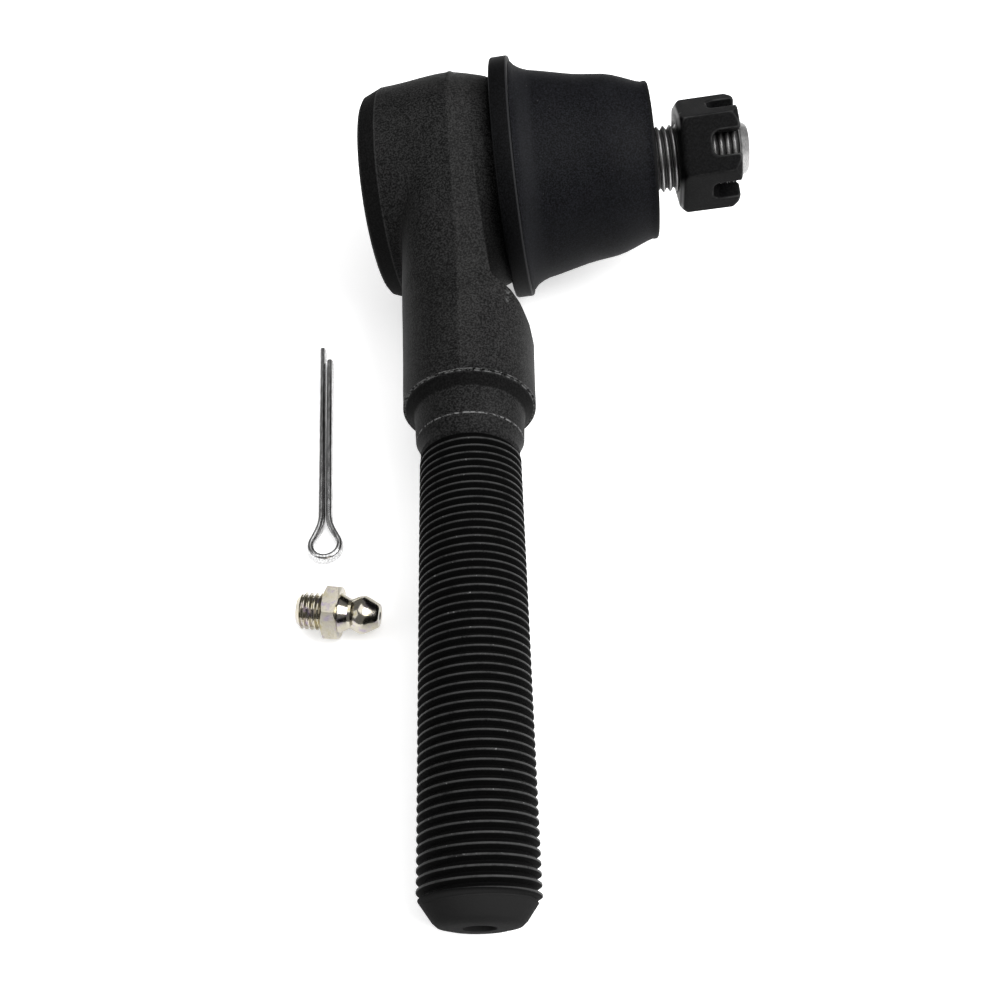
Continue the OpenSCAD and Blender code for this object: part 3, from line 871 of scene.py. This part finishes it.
# %% The castle nut
bpy.ops.object.select_all(action="DESELECT")
bpy.ops.mesh.primitive_cylinder_add(
    vertices=6, radius=corner_r * MM, depth=(NUT_TO - NUT_FROM + SPARE) * MM,
    location=(0, 0, (NUT_FROM + NUT_TO + SPARE) / 2 * MM))
nut = only(bpy.context.object)
bpy.ops.object.transform_apply(location=True, rotation=True, scale=True)
bevel_where(nut, lambda a, b: max(a.z, b.z) < NUT_FROM + 1, NUT_FOOT, 5)
combine(nut, "INTERSECT", turned("nut_outline", NUT_OUTLINE, 120))
combine(nut, "DIFFERENCE", *[slot_cutter(turn) for turn in (30, 90, 150)])
modify(nut, "REMESH", mode="VOXEL", voxel_size=NUT_VOXEL * MM)
modify(nut, "SMOOTH", factor=0.5, iterations=9)
combine(nut, "DIFFERENCE", turned("nut_hole", NUT_HOLE, 96))
lay(nut, Matrix.Rotation(math.radians(NUT_TURN + 30), 4, "X") @ ALONG_STUD)
nut.name = "slotted_nut"
nut.data.materials.clear()
nut.data.materials.append(NUT)
smooth(tidy(nut), 35)
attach(nut, "nut")
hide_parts("castle_nut")
print("nut:", len(nut.data.polygons), "faces")

# %% [markdown]
# ## The cotter pin
#
# A cotter pin is flattened wire, folded so that its flatter sides face each other and its fold makes an
# eye. The wire is drawn the way it is bent: its section starts at the tip of the long leg, is extruded a
# step at a time and turned at each step, round the eye and up to the tip of the short leg.

# %% The cotter pin's path
PIN_R = 1.15                              # half the wire's height as the pin lies
WIRE_WIDE, WIRE_SQUARE = 1.33, 2.6
EYE_R, THROAT = 1.95, 6.9                 # inside of the eye, and where the legs meet
LONG_LEG, SHORT_LEG = 49.2, 45.7
FLARE = 24                                # how far the round part runs past its widest point, degrees
GAP = 0.04                                # from the middle to the flat of each leg


def eye_side(side, count=10):
    """Points from the throat to the round part of the eye, with a soft S between them."""
    angle = math.radians(FLARE)
    start = Vector((GAP * side, THROAT))
    end = Vector((side * EYE_R * math.cos(angle), EYE_R * math.sin(angle)))
    pulls = (Vector((0, -2.7)), Vector((-side * math.sin(angle), math.cos(angle))) * 2.3)
    points = []
    for step in range(count + 1):
        t = step / count
        points.append(start * (1 - t) ** 3 + (start + pulls[0]) * 3 * t * (1 - t) ** 2
                      + (end + pulls[1]) * 3 * t * t * (1 - t) + end * t ** 3)
    return points


arc_steps = 26
arc = [Vector((EYE_R * math.cos(a), EYE_R * math.sin(a))) for a in
       [math.radians(180 - FLARE + (180 + 2 * FLARE) * step / arc_steps) for step in range(1, arc_steps)]]
pin_path = ([Vector((-GAP, LONG_LEG)), Vector((-GAP, 20)), Vector((-GAP, 8.2))] + eye_side(-1) + arc
            + eye_side(1)[::-1] + [Vector((GAP, 8.2)), Vector((GAP, 20)), Vector((GAP + 0.06, SHORT_LEG))])
print("pin path:", len(pin_path), "points")

# %% The cotter pin
bpy.ops.object.select_all(action="DESELECT")
bpy.ops.mesh.primitive_circle_add(vertices=36, radius=PIN_R * MM, fill_type="NGON",
                                  rotation=(math.radians(90), 0, 0))
pin = bpy.context.object
pin.name = "split_pin"
bpy.ops.object.transform_apply(location=True, rotation=True, scale=True)
bpy.ops.object.mode_set(mode="EDIT")
bpy.ops.mesh.select_all(action="SELECT")
wire = bmesh.from_edit_mesh(pin.data)
for point in wire.verts:
    angle = math.atan2(point.co.z, point.co.x)
    across, up = math.cos(angle), math.sin(angle)
    reach = (abs(across) ** WIRE_SQUARE + abs(up) ** WIRE_SQUARE) ** (-1 / WIRE_SQUARE)
    point.co = Vector(((reach * across - 1) * WIRE_WIDE / 2, 0, reach * up * PIN_R)) * MM
bmesh.update_edit_mesh(pin.data)
bpy.ops.transform.translate(value=(pin_path[0].x * MM, pin_path[0].y * MM, 0))
heading = Vector((0, -1))
for before, here in zip(pin_path, pin_path[1:]):
    step = here - before
    bpy.ops.mesh.extrude_region_move(TRANSFORM_OT_translate={"value": (step.x * MM, step.y * MM, 0)})
    index = pin_path.index(here)
    after = pin_path[index + 1] if index + 1 < len(pin_path) else here + step
    ahead = (after - here).normalized() + step.normalized()
    turn = heading.angle_signed(ahead)
    heading = ahead
    mesh = bmesh.from_edit_mesh(pin.data)
    about = Matrix.Translation((here.x * MM, here.y * MM, 0)) @ Matrix.Rotation(-turn, 4, "Z") \
        @ Matrix.Translation((-here.x * MM, -here.y * MM, 0))
    for point in [point for point in mesh.verts if point.select]:
        point.co = about @ point.co
    bmesh.update_edit_mesh(pin.data)
bpy.ops.object.mode_set(mode="OBJECT")
tidy(pin)
round_edges(pin, 0.10, 50, 2)
lay(pin, on_floor(-26.77, -73.35, 3.7) @ Matrix.Translation((0, 0, PIN_R * MM)))
pin.data.materials.append(PIN)
smooth(pin, 40)
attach(pin, "pin")
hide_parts("cotter_pin")
print("pin:", len(pin.data.polygons), "faces")

# %% [markdown]
# ## The grease fitting
#
# The fitting has a short pipe-like thread, a hexagon for the spanner and a ball-shaped head that the
# grease gun grips. Thread and body are turned, the hexagon is chamfered like the nut's, and a passage
# through the middle holds the check ball and its spring. It lies on one flat of its hexagon.

# %% The grease fitting
FIT_PITCH, FIT_R, FIT_AF = 25.4 / 28, 3.175, 8.73
HEX_FROM, HEX_TO = 4.6, 7.3
FIT_THREAD = [(0, 0), (2.35, 0), (3.15, 0.9), (3.15, 4.0), (2.6, 4.3), (2.6, 5), (0, 5)]
FIT_BODY = [(0, 4.2), (2.6, 4.2), (3.4, 4.75), (3.4, 7.2), (3.3, 7.45), (2.62, 8.75), (2.6, 9.25),
            (2.85, 9.75), (3.1, 10.3), (3.24, 10.8), (3.24, 11.3), (3.05, 11.8), (2.7, 12.5),
            (2.2, 13.4), (2.02, 13.75), (1.85, 13.9), (0, 13.9)]
PASSAGE = [(0, -1), (0.9, -1), (0.9, 3), (1.25, 3), (1.25, 12.45), (0.7, 13.3), (0.7, 15), (0, 15)]
fit_corner = FIT_AF / 2 / math.cos(math.radians(30))
HEX_OUTLINE = [(0, HEX_FROM), (4.2, HEX_FROM), (fit_corner + 0.1, HEX_FROM + 0.5),
               (fit_corner + 0.1, HEX_TO - 0.5), (4.2, HEX_TO), (0, HEX_TO)]

fitting = threaded("fitting", FIT_R, FIT_PITCH, FIT_THREAD, 48)
bpy.ops.object.select_all(action="DESELECT")
bpy.ops.mesh.primitive_cylinder_add(vertices=6, radius=fit_corner * MM, depth=4 * MM,
                                    location=(0, 0, (HEX_FROM + HEX_TO) / 2 * MM))
hexagon = only(bpy.context.object)
bpy.ops.object.transform_apply(location=True, rotation=True, scale=True)
combine(hexagon, "INTERSECT", turned("hex_outline", HEX_OUTLINE, 96))
combine(fitting, "UNION", hexagon, turned("fitting_body", FIT_BODY, 72))
combine(fitting, "DIFFERENCE", turned("passage", PASSAGE, 36))
FIT_PLACE = on_floor(-29.74, -88.3, -6.95) @ Matrix.Translation((0, 0, FIT_AF / 2 * MM)) @ ALONG_STUD
lay(fitting, FIT_PLACE)
fitting.name = "ball_headed_fitting"
fitting.data.materials.clear()
fitting.data.materials.append(FITTING)
smooth(tidy(fitting), 25)
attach(fitting, "fitting")
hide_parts("grease_fitting")
print("fitting:", len(fitting.data.polygons), "faces")

# %% [markdown]
# A fine coil spring behind the check ball keeps the fitting shut. It runs from the fitting's passage up
# to the ball.

# %% The fitting's spring
COIL_R, COIL_WIRE_R, COIL_TURNS = 0.85, 0.15, 6
COIL_FROM, COIL_TO = 3.2, 11.2

bpy.ops.object.select_all(action="DESELECT")
bpy.ops.mesh.primitive_circle_add(vertices=10, radius=COIL_WIRE_R * MM, rotation=(math.radians(90), 0, 0),
                                  location=(COIL_R * MM, 0, COIL_FROM * MM))
coil = only(bpy.context.object)
bpy.ops.object.transform_apply(location=True, rotation=True, scale=True)
modify(coil, "SCREW", axis="Z", angle=FULL_TURN, iterations=COIL_TURNS, steps=40, render_steps=40,
       screw_offset=(COIL_TO - COIL_FROM) / COIL_TURNS * MM, use_merge_vertices=False)
bpy.ops.object.mode_set(mode="EDIT")
bpy.ops.mesh.select_all(action="SELECT")
bpy.ops.mesh.remove_doubles(threshold=1e-7)
bpy.ops.mesh.select_all(action="SELECT")
bpy.ops.mesh.fill_holes(sides=0)
bpy.ops.object.mode_set(mode="OBJECT")
lay(tidy(coil), FIT_PLACE)
coil.name = "check_ball_spring"
coil.data.materials.clear()
coil.data.materials.append(HIDDEN["spring_washer"])
smooth(coil, 60)
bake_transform(coil)
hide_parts("fitting_spring")
print("spring:", len(coil.data.polygons), "faces")

# %% [markdown]
# ## Floor and light
#
# The floor is plain white paper that glows a little. The light is a photographer's: a soft box high on
# the right, a weaker one on the left to draw the edges, a large one overhead, and an even white room.
# Large lamps give the soft shadows.

# %% Floor and light
TABLE_GLOW = 0.5


def floor_white():
    f = Finish("floor_white")
    paper = f.noise(2, 3, 0.6)
    return f.finish(Base_Color=f.mix(paper, grey(0.93), grey(0.97)), Roughness=0.9,
                    Specular_IOR_Level=0.1, Emission_Color=(1, 1, 1, 1), Emission_Strength=TABLE_GLOW,
                    Normal=f.bump(paper, 0.02, 0.2))


floor.data.materials.append(floor_white())

ROOM = 0.22
LAMPS = {                                 # place, size and power in watts
    "key": ((0.50, -0.15, 0.45), 0.50, 6.5),
    "fill": ((-0.55, -0.20, 0.50), 0.45, 0.7),
    "top": ((0.10, 0.10, 0.95), 0.90, 4.5),
}
for name, (place, size, power) in LAMPS.items():
    bpy.ops.object.light_add(type="AREA", location=place)
    lamp = bpy.context.object
    lamp.name = name
    lamp.data.size, lamp.data.energy = size, power
    lamp.rotation_euler = (Vector((0, -0.05, 0)) - lamp.location).to_track_quat("-Z", "Y").to_euler()

world = bpy.data.worlds.new("room")
bpy.context.scene.world = world
world.use_nodes = True
world.node_tree.nodes["Background"].inputs["Color"].default_value = (1, 1, 1, 1)
world.node_tree.nodes["Background"].inputs["Strength"].default_value = ROOM
bpy.context.scene.view_settings.view_transform = "Standard"
print("lamps:", ", ".join(LAMPS))
